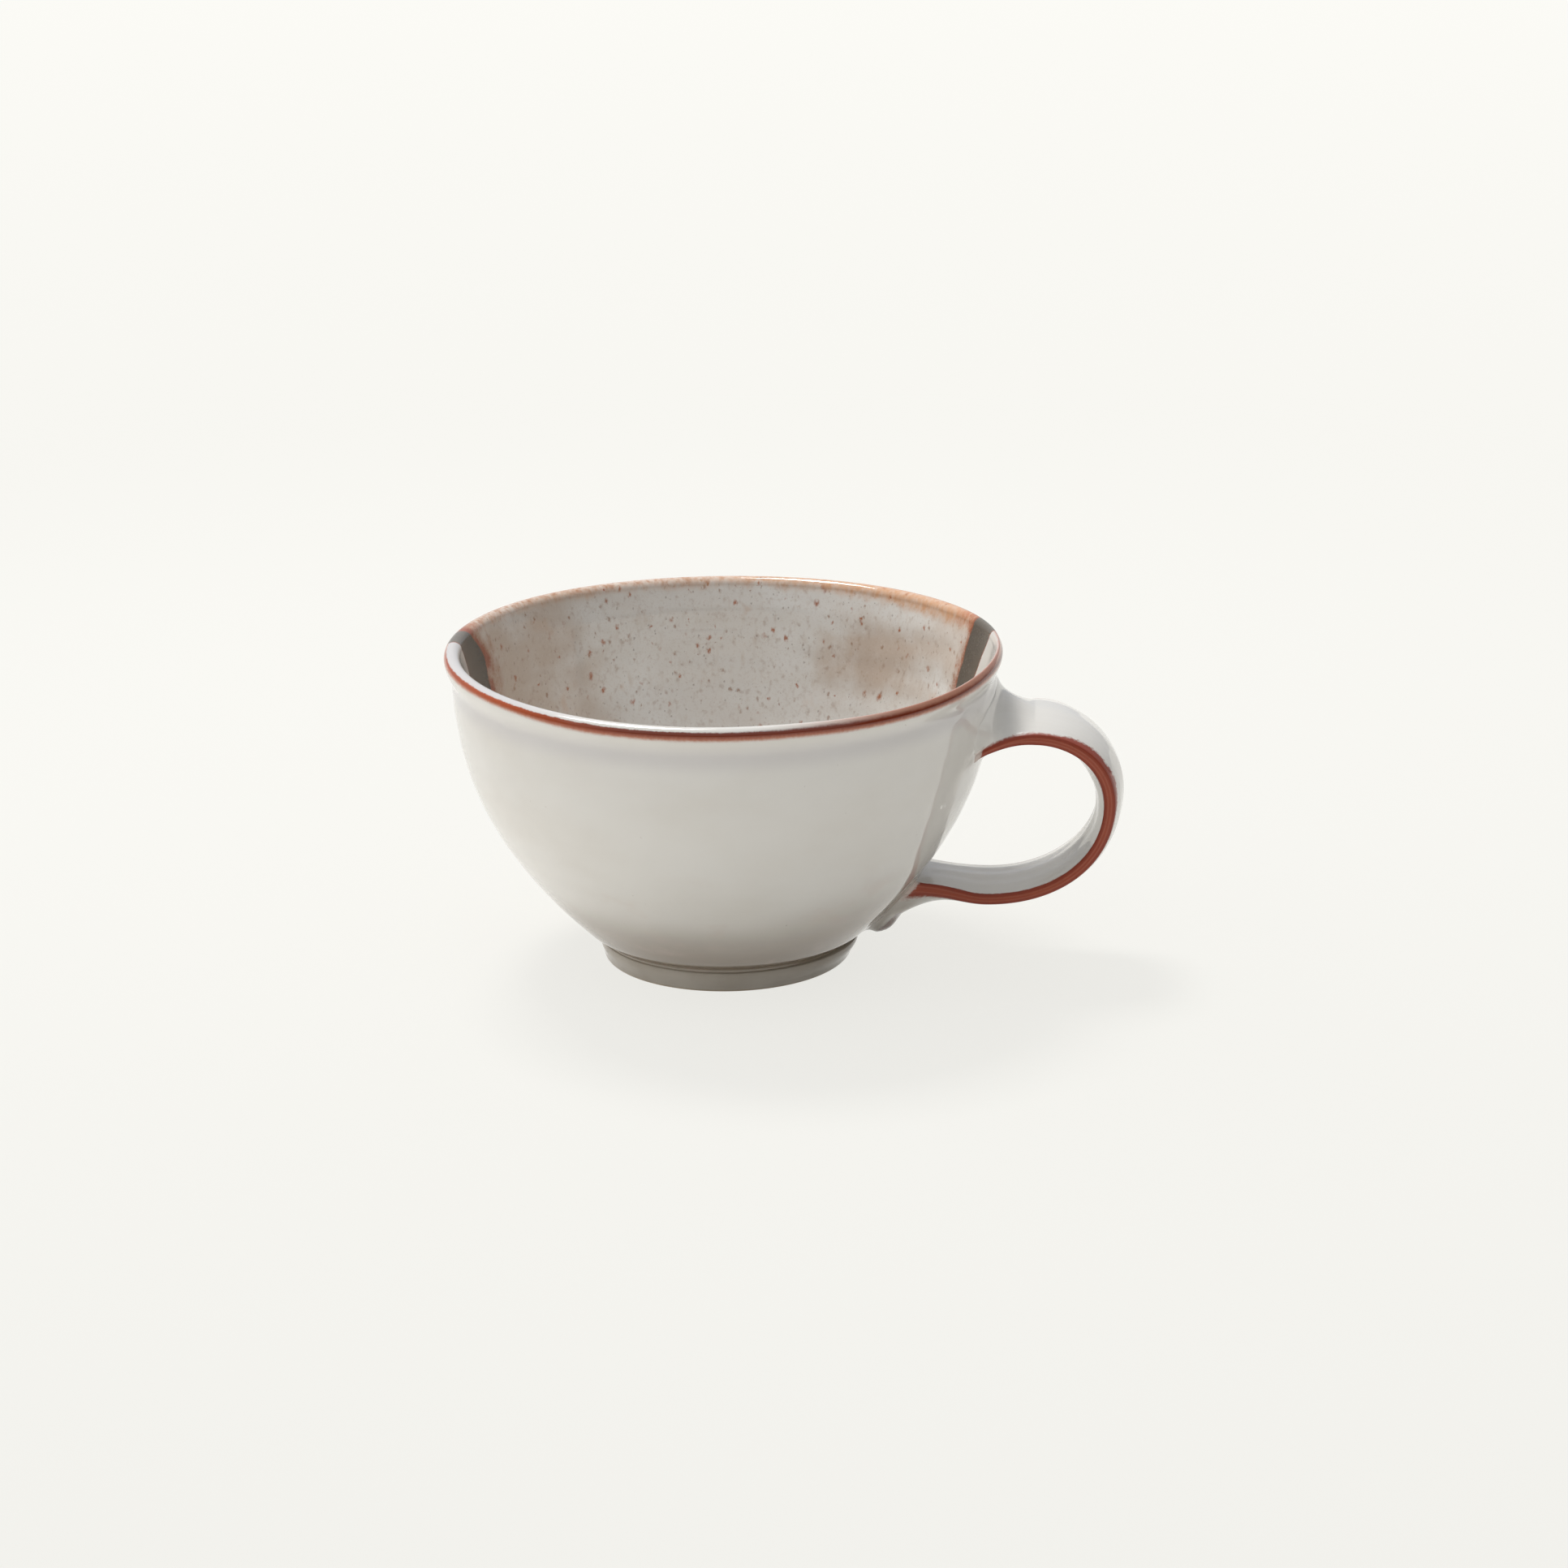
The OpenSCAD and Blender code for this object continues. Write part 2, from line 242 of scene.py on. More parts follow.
# what the potter's hands leave: rings climbing the wall and a slight wobble, both always inwards,
# and a lip that dips in front and behind and is thinner and lower beside the handle
def throwBowl(bm, layer):
    b = bowl
    ringSpeed, ringStray = b["ringNoise"]
    wobbleSpeed, wobbleShift = b["wobbleNoise"]
    thin, thinAt = b["lipThin"]
    thinStart, thinEnd = b["thinOver"]
    sink, sinkAt, sinkRound = b["lipSink"]
    for v in bm.verts:
        r = math.hypot(v.co.x, v.co.y)
        if r < b["untouched"] or v.co.z < b["footHeight"] + b["untouched"]:
            continue
        angle = math.atan2(v.co.y, v.co.x)
        outward = Vector((v.co.x / r, v.co.y / r, 0))
        place = Vector((math.cos(angle), math.sin(angle), v.co.z / b["noiseHeight"]))
        stray = noise.noise(place * ringSpeed) * ringStray
        wave = math.sin(math.tau * v.co.z / b["ringPitch"] + angle + stray)
        depth = b["outsideRings"] if v[layer] < 0 else b["insideRings"]
        wallShare = min(1, abs(v[layer]) / b["ringFade"])
        wobble = b["wobble"] * (0.5 + 0.5 * noise.noise(place * wobbleSpeed + wobbleShift))
        v.co -= outward * (wobble + depth * wallShare * (1 + wave))
        dip = b["rimDip"] * math.sin(angle)**2 + b["rimLean"] * (1 - math.cos(angle)) + 0.4 * wobble
        v.co.z -= dip * (v.co.z / b["height"])**2
        near = ramp(math.cos(angle - thinAt), *b["thinRound"])
        inner = ramp(v[layer], *thinStart) * ramp(v[layer], *thinEnd)
        v.co += outward * thin * near * inner
        share = max(0, 1 - ((angle - sinkAt) / sinkRound)**2)**2
        v.co.z -= sink * share * ramp(abs(v[layer]), *b["sinkOver"])


foot = {
    "radius": 24.7 * mm,
    "width": 4.4 * mm,
    "round": 0.8 * mm,
    "side": Vector((25.4, 3.4)) * mm,
    "sidePulls": (Vector((0.1, 1)) * mm, Vector((0.05, 1)) * mm),
    "rollPulls": (Vector((0, 0.3)) * mm, Vector((0.3, 0)) * mm),
    "groove": bowl["groove"] - Vector((0.05, 0.1)) * mm,
    "top": bowl["footHeight"] + 0.4 * mm,
    "lean": 0.9 * mm,               # the hand-set ring stands out a little on the handle's side
}


def addFoot():
    f = foot
    inner = f["radius"] - f["width"]

    def corner(x, start):
        return [Vector((x + f["round"] * math.cos(a), f["round"] * (1 + math.sin(a))))
                for a in steps(math.radians(start), math.radians(start + 90), 6)]

    outer = corner(f["radius"] - f["round"], 270)
    start, side, groove = outer[-1], f["side"], f["groove"]
    sideCurve = [start, start + f["sidePulls"][0], side - f["sidePulls"][1], side]
    rollCurve = [side, side + f["rollPulls"][0], groove + f["rollPulls"][1], groove]
    points = corner(inner + f["round"], 180) + outer
    points += [curveAt(sideCurve, t) for t in steps(0, 1, 8)[1:]]
    points += [curveAt(rollCurve, t) for t in steps(0, 1, 6)[1:]]
    points += [Vector((groove.x - bowl["baseInset"], f["top"])), Vector((inner, f["top"]))]
    bm = bmesh.new()
    spinOutline(bm, points, bowl["turns"], closed=True)
    for v in bm.verts:
        r = math.hypot(v.co.x, v.co.y)
        lean = f["lean"] * max(0, v.co.x / r)**2 * min(1, v.co.z / f["side"].y)
        v.co.x += lean * ramp(r, inner, f["radius"])
    return bm


handle = {
    "top": Vector((61.4, 48.7)) * mm,
    "reach": Vector((76.16, 35.05)) * mm,
    "low": Vector((52, 14.5)) * mm,
    "upperEnd": Vector((49, 44.6)) * mm,
    "lowerEnd": Vector((34.5, 16.75)) * mm,
    "topPull": (4.7 * mm, 7.8 * mm),        # the curve's pulls before and after this point
    "reachPull": (7.65 * mm, 11.3 * mm),
    "lowPull": (14.5 * mm, 5 * mm),
    "upperEndPull": Vector((3.7, 2.4)) * mm,
    "lowerEndPull": Vector((8.5, -0.6)) * mm,
    "halfWidths": (12.2 * mm, 10.5 * mm, 8.8 * mm),
    "edge": 2.15 * mm,
    "edgeSwell": 0.3 * mm,
    "crown": 1.7 * mm,
    "belly": 1.1 * mm,
    # the roots: half width, height and half angle of each fan, then pairs for the upper and the lower
    "upperFan": (21 * mm, 6.8 * mm, math.radians(125)),
    "lowerFan": (10.6 * mm, 10.6 * mm, math.radians(100)),
    "rise": (1.1, 5),
    "wallAt": (0.82, 0.85),
    "leans": (Vector((0.17, 1)).normalized(), Vector((-0.6, -0.8)).normalized()),
    "wallRadius": (52 * mm, 36 * mm),
    "edgeGain": (-0.5 * mm, 0.4 * mm),
    "bellyGain": (1 * mm, -0.5 * mm),
    "bellySwell": (1.3 * mm, 0.72, 0.5),    # more belly inside: how much, where along s and how far
    "toeRoll": 0.9 * mm,
    "pullLines": (0.05 * mm, 0.08 * mm),    # ridges that the hand leaves along the outer and inner faces
    "pullWaves": (3 * math.pi, 3.4 * math.pi),
    "pullShift": 0.6,
    "stations": 280,
    "faceSteps": 40,
    "edgeSteps": 8,
    # the pad at the tail's end: its place, its radius and how far it stands out, then its brown ridge
    "toe": (Vector((32.3, -4.6, 7.6)) * mm, 4.2 * mm, 1.25 * mm),
    "toeTip": (Vector((31.5, -6.2, 6.8)) * mm, Vector((35, -7.4, 10.5)) * mm),
    "weld": 2.1 * mm,               # reach of the smooth join at the wall
    "weldBeyond": 25 * mm,          # the wall swells only past this x
    "weldBelow": -2,                # and past this distance from the crest, in millimetres
    "wallReach": 20 * mm,           # distances from the wall are kept up to here
    "deepest": 2.4 * mm,            # how far a root may sink into the wall
}


# the strap's middle line: s is -1 in the wall above, 0 on top, 1 at the reach, 2 at the bottom
# and 3 in the wall below
def strapCurves():
    h = handle
    top, reach, low = h["top"], h["reach"], h["low"]
    upper = [h["upperEnd"], h["upperEnd"] + h["upperEndPull"], top - Vector((h["topPull"][0], 0)), top]
    over = [top, top + Vector((h["topPull"][1], 0)), reach + Vector((0, h["reachPull"][0])), reach]
    under = [reach, reach - Vector((0, h["reachPull"][1])), low + Vector((h["lowPull"][0], 0)), low]
    toe = [low, low - Vector((h["lowPull"][1], 0)), h["lowerEnd"] + h["lowerEndPull"], h["lowerEnd"]]
    return [upper, over, under, toe]


def strapSection(s):
    h = handle
    piece = min(3, max(0, math.floor(s) + 1))
    curve = strapCurves()[piece]
    t = s + 1 - piece
    root = 0 if s < 0.5 else 1
    spread = min(1, max(-s, s - 2, 0) / h["wallAt"][root])
    swell, where, far = h["bellySwell"]
    bulge = swell * max(0, 1 - (s - where)**2 / far**2)**2
    width0, width1, width2 = h["halfWidths"]
    halfWidth = [width0, mix(width0, width1, ease(t)), mix(width1, width2, ease(t)), width2][piece]
    normal = leftOf(curveHeading(curve, t))
    return {
        "centre": curveAt(curve, t),
        "out": mix(normal, h["leans"][root], ease(spread)).normalized(),
        "halfWidth": halfWidth,
        "halfEdge": h["edge"] / 2 + h["edgeGain"][root] * spread ** (1 + root),
        "belly": h["belly"] + h["bellyGain"][root] * spread**3 + bulge,
        "roll": root * h["toeRoll"] * ease(spread),
        "fan": (h["upperFan"], h["lowerFan"])[root],
        "rise": spread ** h["rise"][root],
        "widen": spread**3,
        "wallRadius": h["wallRadius"][root],
    }


def sectionPoint(k, q, y, height):
    p = k["centre"] + (height + k["roll"] * q) * k["out"]
    wrap = k["widen"] * (k["wallRadius"] - math.sqrt(k["wallRadius"]**2 - y * y))
    return Vector((p.x - wrap, y, p.y))


def outerPoint(k, q):
    wide, tall, angle = k["fan"]
    y = mix(k["halfWidth"] * q, wide * math.sin(angle * q), k["widen"])
    crown = mix(handle["crown"] * (1 - q * q), tall * (math.cos(angle * q) - math.cos(angle)), k["rise"])
    ridge = handle["pullLines"][0] * math.cos(handle["pullWaves"][0] * q) * (1 - k["rise"])
    return sectionPoint(k, q, y, k["halfEdge"] + crown + ridge * (1 - q * q))


def innerPoint(k, q):
    wide, tall, angle = k["fan"]
    y = mix(k["halfWidth"], wide * math.sin(angle), k["widen"]) * q
    wave = math.cos(handle["pullWaves"][1] * q + handle["pullShift"])
    ridge = handle["pullLines"][1] * wave * (1 - k["rise"])
    return sectionPoint(k, q, y, -k["halfEdge"] - (k["belly"] + ridge) * (1 - q * q))


# one ring round the strap: the outer face, the rear edge, the inner face and the front edge;
# each point has its distance from the nearest corner, below zero on the faces and threefold on the
# inner one, and its distance across from the middle
def strapRing(s):
    k = strapSection(s)
    width = k["halfWidth"]
    shares = [math.sin(math.pi / 2 * q) for q in steps(-1, 1, handle["faceSteps"])]
    across = steps(0, 1, handle["edgeSteps"])[1:-1]
    ring = [(outerPoint(k, q), (abs(q) - 1) * width, q * width) for q in shares]
    for q in (1, -1):
        a, b = outerPoint(k, q), innerPoint(k, q)
        thick = (b - a).length
        swell = Vector((0, q * handle["edgeSwell"], 0))
        edgePoints = [(a.lerp(b, u) + 4 * u * (1 - u) * swell,
                       min(u, 1 - u) * thick, q * (width + u * thick)) for u in across]
        if q == 1:
            ring += edgePoints
            ring += [(innerPoint(k, p), 3 * (abs(p) - 1) * width, p * width) for p in reversed(shares)]
        else:
            ring += edgePoints[::-1]
    return ring


def addHandle():
    bm = bmesh.new()
    layers = [bm.verts.layers.float.new(name) for name in ("rim", "across", "run")]

    def setMarks(verts, ring, run):
        for v, (p, rim, across) in zip(verts, ring):
            v.co = p
            for layer, mark in zip(layers, (rim, across, run)):
                v[layer] = mark / mm

    ring = [bm.verts.new() for p in strapRing(-1)]
    setMarks(ring, strapRing(-1), 0)
    edges = [bm.edges.new(pair) for pair in zip(ring, ring[1:] + ring[:1])]
    firstEdges = edges
    centre = strapSection(-1)["centre"]
    run = 0
    for s in steps(-1, 3, handle["stations"])[1:]:
        order = {v: i for i, v in enumerate(ring)}
        grown = bmesh.ops.extrude_edge_only(bm, edges=edges)["geom"]
        edges = [g for g in grown if isinstance(g, bmesh.types.BMEdge)]
        newRing = [None] * len(ring)
        for v in grown:
            if isinstance(v, bmesh.types.BMVert):
                old = next(e.other_vert(v) for e in v.link_edges if e.other_vert(v) in order)
                newRing[order[old]] = v
        run += (strapSection(s)["centre"] - centre).length
        centre = strapSection(s)["centre"]
        setMarks(newRing, strapRing(s), run)
        ring = newRing
    bmesh.ops.contextual_create(bm, geom=firstEdges)
    bmesh.ops.contextual_create(bm, geom=edges)
    bmesh.ops.recalc_face_normals(bm, faces=bm.faces)
    return bm


# distance from a surface, below zero behind it
def signedDistance(tree, point, reach):
    hit, normal, _, distance = tree.find_nearest(point, reach)
    if hit is None:
        return reach
    return distance if (point - hit).dot(normal) >= 0 else -distance


def weldPush(distance, reach):
    return max(0, 1 - abs(distance) / reach)**2 * reach / 4


# the roots run smoothly into the wall: both surfaces swell a little where they are near each other
def weldHandle(bowlMesh, crestLayer, handleMesh):
    wallLayer = handleMesh.verts.layers.float.new("wall")
    bowlMesh.normal_update()
    handleMesh.normal_update()
    bowlMesh.verts.index_update()
    outside = [[v.index for v in f.verts] for f in bowlMesh.faces
               if all(v[crestLayer] < 0 for v in f.verts)]
    bowlTree = BVHTree.FromPolygons([v.co for v in bowlMesh.verts], outside)
    handleTree = BVHTree.FromBMesh(handleMesh)
    reach = handle["weld"]
    moves = []
    for v in handleMesh.verts:
        d = signedDistance(bowlTree, v.co, handle["wallReach"])
        v[wallLayer] = d / mm
        if d < -handle["deepest"]:
            outward = Vector((v.co.x, v.co.y, 0)).normalized()
            moves.append((v, v.co + outward * (-handle["deepest"] - d)))
        elif abs(d) < reach:
            moves.append((v, v.co + v.normal * weldPush(d, reach)))
    for v in bowlMesh.verts:
        if v.co.x > handle["weldBeyond"] and v[crestLayer] < handle["weldBelow"]:
            d = signedDistance(handleTree, v.co, reach)
            if abs(d) < reach:
                moves.append((v, v.co + v.normal * weldPush(d, reach)))
    for v, place in moves:
        v.co = place


# the tail ends in a rounded pad; every point of the handle keeps its distance from the pad's ridge
def swellToe(bm):
    place, radius, depth = handle["toe"]
    tipLayer = bm.verts.layers.float.new("tip")
    bm.normal_update()
    moves = []
    for v in bm.verts:
        d = (v.co - place).length / radius
        if d < 1:
            moves.append((v, v.co + v.normal * depth * (1 - d * d)**2))
    for v, moved in moves:
        v.co = moved
    low, high = handle["toeTip"]
    for v in bm.verts:
        share = (v.co - low).dot(high - low) / (high - low).length_squared
        v[tipLayer] = (v.co - low.lerp(high, min(1, max(0, share)))).length / mm


# a socket that does maths
class Wire:
    def __init__(self, finish, socket):
        self.finish = finish
        self.socket = socket

    # another output of the same node
    def also(self, name):
        return Wire(self.finish, self.socket.node.outputs[name])

    def maths(self, operation, a, b=0.0):
        return self.finish.node("ShaderNodeMath", {"operation": operation}, {0: a, 1: b})

    def __add__(self, other):
        return self.maths("ADD", self, other)

    def __radd__(self, other):
        return self.maths("ADD", other, self)

    def __sub__(self, other):
        return self.maths("SUBTRACT", self, other)

    def __rsub__(self, other):
        return self.maths("SUBTRACT", other, self)

    def __mul__(self, other):
        return self.maths("MULTIPLY", self, other)

    def __rmul__(self, other):
        return self.maths("MULTIPLY", other, self)

    def __truediv__(self, other):
        return self.maths("DIVIDE", self, other)

    def __abs__(self):
        return self.maths("ABSOLUTE", self)


# the node tree of a material or of the surroundings
class Finish:
    def __init__(self, owner):
        self.owner = owner
        owner.use_nodes = True
        self.tree = owner.node_tree
        self.tree.nodes.clear()

    def node(self, kind, settings=None, inputs=None, output=0):
        made = self.tree.nodes.new(kind)
        for key, value in (settings or {}).items():
            if key == "stops":
                ramp = made.color_ramp
                while len(ramp.elements) < len(value):
                    ramp.elements.new(1)
                for element, (place, colour) in zip(ramp.elements, value):
                    element.position = place
                    element.color = colour
            else:
                setattr(made, key, value)
        for key, value in (inputs or {}).items():
            if isinstance(value, Wire):
                self.tree.links.new(value.socket, made.inputs[key])
            else:
                made.inputs[key].default_value = value
        return Wire(self, made.outputs[output] if made.outputs else None)

    # the piece's own coordinates in millimetres
    def place(self, scale=(1, 1, 1), shift=(0, 0, 0)):
        spot = self.node("ShaderNodeTexCoord", output="Object")
        return self.node("ShaderNodeMapping", {}, {0: spot, 1: shift, 3: [s / mm for s in scale]})

    def axes(self):
        first = self.node("ShaderNodeSeparateXYZ", {}, {0: self.place()})
        return first, first.also("Y"), first.also("Z")

    def attribute(self, name):
        return self.node("ShaderNodeAttribute", {"attribute_name": name}, {}, "Fac")

    # 0 at low, 1 at high, smooth between
    def fade(self, value, low, high):
        return self.node("ShaderNodeMapRange", {"interpolation_type": "SMOOTHSTEP"},
                         {0: value, 1: low, 2: high})

    def blend(self, share, a, b):
        return self.node("ShaderNodeMix", {"data_type": "RGBA"}, {0: share, 6: a, 7: b}, 2)

    # noise from -1 to 1
    def noise(self, spot, detail):
        return self.node("ShaderNodeTexNoise", {}, {"Vector": spot, "Scale": 1.0, "Detail": detail}) * 2 - 1

    # noise with features of the given size in millimetres
    def cloud(self, size, detail, scale=(1, 1, 1), shift=(0, 0, 0)):
        return self.noise(self.place([s / size for s in scale], shift), detail)

    # specks, one in some of the cells: cell and largest radius in millimetres
    def specks(self, cell, largest, share, shift=(0, 0, 0), tall=0.7, soft=0.5):
        spot = self.place([1 / cell, 1 / cell, tall / cell], shift)
        warp = self.node("ShaderNodeTexNoise", {}, {"Vector": spot, "Scale": 3.5, "Detail": 3.0}, 1)
        bent = self.node("ShaderNodeVectorMath", {"operation": "MULTIPLY_ADD"},
                         {0: warp, 1: (0.5, 0.5, 0.5), 2: spot})
        distance = self.node("ShaderNodeTexVoronoi", {}, {"Vector": bent, "Scale": 1.0}, "Distance")
        chance = self.node("ShaderNodeSeparateColor", {}, {0: distance.also("Color")})
        size = chance * (0.65 * largest / cell) + 0.35 * largest / cell
        spots = self.fade(distance / size, 1.0, 1 - soft)
        return spots * self.fade(chance.also("Green"), share + 0.02, share)

    def surface(self, colour, roughness, ior, bump, bumpDepth):
        dents = self.node("ShaderNodeBump", {}, {"Height": bump, "Distance": bumpDepth * mm})
        shader = self.node("ShaderNodeBsdfPrincipled", {}, {
            "Base Color": colour, "Roughness": roughness, "IOR": ior, "Normal": dents})
        self.node("ShaderNodeOutputMaterial", {}, {"Surface": shader})
        return self.owner


# a colour as it looks on screen, 0 to 255
def tint(r, g, b):
    def linear(c):
        c = c / 255
        return c / 12.92 if c <= 0.04045 else ((c + 0.055) / 1.055)**2.4
    return (linear(r), linear(g), linear(b), 1)


glaze = {
    "white": tint(206, 203, 197),
    "whiteWarm": tint(191, 184, 173),
    "whiteGreyer": tint(184, 180, 180),
    "whiteFoot": tint(147, 134, 116),
    "footBrown": tint(134, 117, 98),
    "blush": tint(186, 165, 152),
    "grey": tint(214, 209, 202),
    "greyBrown": tint(190, 171, 154),
    "greyPale": tint(224, 222, 218),
    "pepper": tint(116, 96, 80),
    "speckBrown": tint(146, 106, 78),
    "speckRust": tint(160, 94, 58),
    "dark": tint(78, 69, 59),
    "darkGrain": tint(116, 108, 95),
    "rust": tint(144, 68, 38),
    "rustDark": tint(108, 42, 20),
    "rustPale": tint(172, 118, 96),
    "rustBrown": tint(158, 108, 76),
    "rustOrange": tint(158, 70, 30),
    "rustDeep": tint(150, 48, 10),
    "toeBrown": tint(98, 62, 48),
    "rustLight": tint(192, 118, 76),
    "peach": tint(164, 94, 60),
    "tan": tint(196, 150, 114),
    "clay": tint(176, 160, 138),
    "bandFront": (4.3, 0.108),      # where the dark band's borders cross x = 0, and their slope
    "bandRear": (16.0, 0.0796),
    "ior": 1.56,
    "handleIor": 1.46,
}


# pale front coat: greyer over the neck, warmer and darker towards the foot, partly pooled glaze and partly
# painted shade
def frontCoat(g, x, z, crest, patches):
    outside = g.fade(crest, 0.5, -0.5)
    white = g.blend(g.fade(patches, -0.5, 0.9) * 0.5, glaze["white"], glaze["whiteWarm"])
    white = g.blend(g.fade(abs(crest + 7.6), 4.0, 0.0) * outside * 0.5, white, glaze["whiteGreyer"])
    # warmer and darker towards the foot: glaze pooled there, mixed with painted shade near the table
    poolAndShade = g.fade(z + patches * 4 - g.fade(x, 0, 42) * 6, 24, 4) * outside
    white = g.blend(poolAndShade * 0.85, white, glaze["whiteFoot"])
    brown = g.fade(z + patches * 2, 21, 5) * g.fade(z, 3.6, 6) * outside
    white = g.blend(brown * 0.7, white, glaze["footBrown"])
    mottle = g.fade(g.cloud(9, 3.0, (1, 1, 1.6), (4, 7, 2)), 0.05, 0.6)
    white = g.blend(mottle * g.fade(z, 36, 12) * outside * 0.45, white, glaze["blush"])
    return g.blend(g.specks(2.6, 0.2, 0.3, (5, 2, 8)) * 0.35, white, glaze["pepper"])


# grey rear coat: browner towards the dark band and in a smudge on the right, with clouds, grain and specks
def rearCoat(g, x, z, behind, grain):
    cloudy = g.cloud(17, 4.0, (1, 1, 1.5), (3, 1, 2))
    uneven = 0.85 + g.cloud(4, 3.0, (1, 1, 0.6)) * 0.9
    smudge = g.fade(abs(x - 26), 18, 2) * g.fade(abs(z - 50), 12, 1) * uneven
    browner = g.fade(cloudy + g.fade(behind, 22, 2) * 0.6 + g.fade(x, -20, -32) * 0.5 + smudge, 0.0, 1.0)
    grey = g.blend(browner * 0.85, glaze["grey"], glaze["greyBrown"])
    grey = g.blend(g.fade(cloudy, 0.0, -0.7) * 0.6, grey, glaze["greyPale"])
    grey = g.blend(g.fade(grain, 0.0, 0.7) * 0.45, grey, glaze["greyBrown"])
    grey = g.blend(g.fade(grain, -0.1, -0.8) * 0.3, grey, glaze["greyPale"])
    runs = g.cloud(1.6, 3.0, (1, 1, 0.3), (7, 5, 3))      # thin runs down the wall
    grey = g.blend(g.fade(runs, 0.1, 0.7) * 0.45, grey, glaze["greyBrown"])
    mottle = g.cloud(1.2, 4.0, (1, 1, 0.8), (5, 9, 2))
    grey = g.blend(g.fade(mottle, 0.05, 0.6) * 0.4, grey, glaze["speckBrown"])
    grey = g.blend(g.specks(8.5, 2.4, 0.45, (2, 8, 3), 0.6, 0.9) * 0.35, grey, glaze["tan"])
    freckles = g.fade(g.cloud(0.8, 3.0, (1, 1, 0.7), (8, 3, 5)) + g.cloud(7, 2.0) * 0.3, 0.3, 0.7)
    grey = g.blend(freckles * 0.5, grey, glaze["speckBrown"])
    grey = g.blend(g.specks(1.1, 0.28, 0.55, (1, 4, 2)) * 0.45, grey, glaze["pepper"])
    grey = g.blend(g.specks(1.9, 0.58, 0.6, (9, 1, 5), 0.7, 0.85) * 0.7, grey, glaze["speckBrown"])
    return g.blend(g.specks(2.7, 0.88, 0.55, (4, 6, 1), 0.75, 0.85) * 0.9, grey, glaze["speckRust"])


# rust where the rear coat runs thin: over the lip, and beside the dark band
def rearRust(g, grey, x, crest, behind, blotch, grain, streaks):
    ragged = blotch * 1.7 + grain * 0.7
    lipReach = 3.0 + g.fade(x, 5, 45) * 1.6
    tanLip = g.fade(abs(crest - 0.7) + ragged, lipReach, lipReach - 2.8)
    drips = g.cloud(1.1, 3.0, (1, 1, 0.45), (2, 6, 4))
    grey = g.blend(tanLip * (0.45 + g.fade(x, -20, 10) * 0.4 + drips * 0.5), grey, glaze["tan"])
    rustLip = g.fade(abs(crest - 0.6) + ragged, 2.0, 0.0) * g.fade(x, 46, -46)
    grey = g.blend(rustLip * g.fade(drips, -0.3, 0.5) * 0.8, grey, glaze["rustBrown"])
    orange = tanLip * g.fade(behind, 9, 1) * g.fade(drips, -0.5, 0.2)
    grey = g.blend(orange * 0.7, grey, glaze["rustOrange"])
    grey = g.blend(streaks * g.fade(abs(crest - 1.8), 2.6, 0.6) * 0.9, grey, glaze["rust"])
    wide = 4.0 + g.fade(x, 10, -10) * 3.5
    near = behind + (blotch + grain * 0.3) * wide * 0.65 + 0.3
    grey = g.blend(g.fade(near, wide, 0.0) * 0.8, grey, glaze["rustBrown"])
    return g.blend(g.fade(near, wide * 0.5, -0.2) * 0.85, grey, glaze["rust"])


# the dark band between the coats, greyer on the lip and with a thin brown border in front
def darkCoat(g, crest, inFront, grain):
    dark = g.blend(g.fade(grain, -0.1, 0.8) * 0.6, glaze["dark"], glaze["darkGrain"])
    dark = g.blend(g.fade(abs(crest), 3.0, 0.6) * 0.45, dark, glaze["darkGrain"])
    return g.blend(g.fade(inFront, 0.7, 0.15) * 0.7, dark, glaze["rust"])


# rust line round the front of the lip, below a crest that is white on the left and peach towards the handle
def lipLine(g, white, x, crest, blotch):
    ragged = g.cloud(0.55, 2.0) * 0.14 + g.cloud(1.7, 2.0) * 0.12
    down = crest + ragged
    upper = g.fade(x, -18, -42) * 0.35 - g.fade(x, 26, 44) * 0.3 + blotch * 0.12 - 1.5
    lower = -2.15 - g.fade(x, -44, -18) * 0.8 + g.fade(x, 26, 44) * 0.2
    soft = 0.25 + g.fade(x, -5, 38) * 0.5
    tone = g.blend(g.fade(down - upper, -0.5, -1.6), glaze["rustDark"], glaze["rust"])
    tone = g.blend(g.fade(x, -8, -42) * 0.85, tone, glaze["rustOrange"])
    tone = g.blend(g.fade(down - lower, 0.6, -0.4), tone, glaze["rustPale"])
    thinCrest = g.fade(abs(crest - 0.3), 2.6, 0.8) * g.fade(x, -15, -42)
    white = g.blend(thinCrest * 0.8, white, glaze["whiteGreyer"])
    warmCrest = g.fade(abs(crest + 1.2 + blotch * 0.3), 2.4, 0.6) * g.fade(x, 10, 40)
    white = g.blend(warmCrest * 0.85, white, glaze["peach"])
    onLine = g.fade((upper - down) / soft, -0.8, 0.5) * g.fade(down - lower, -0.75, 0.1)
    return g.blend(onLine, white, tone)


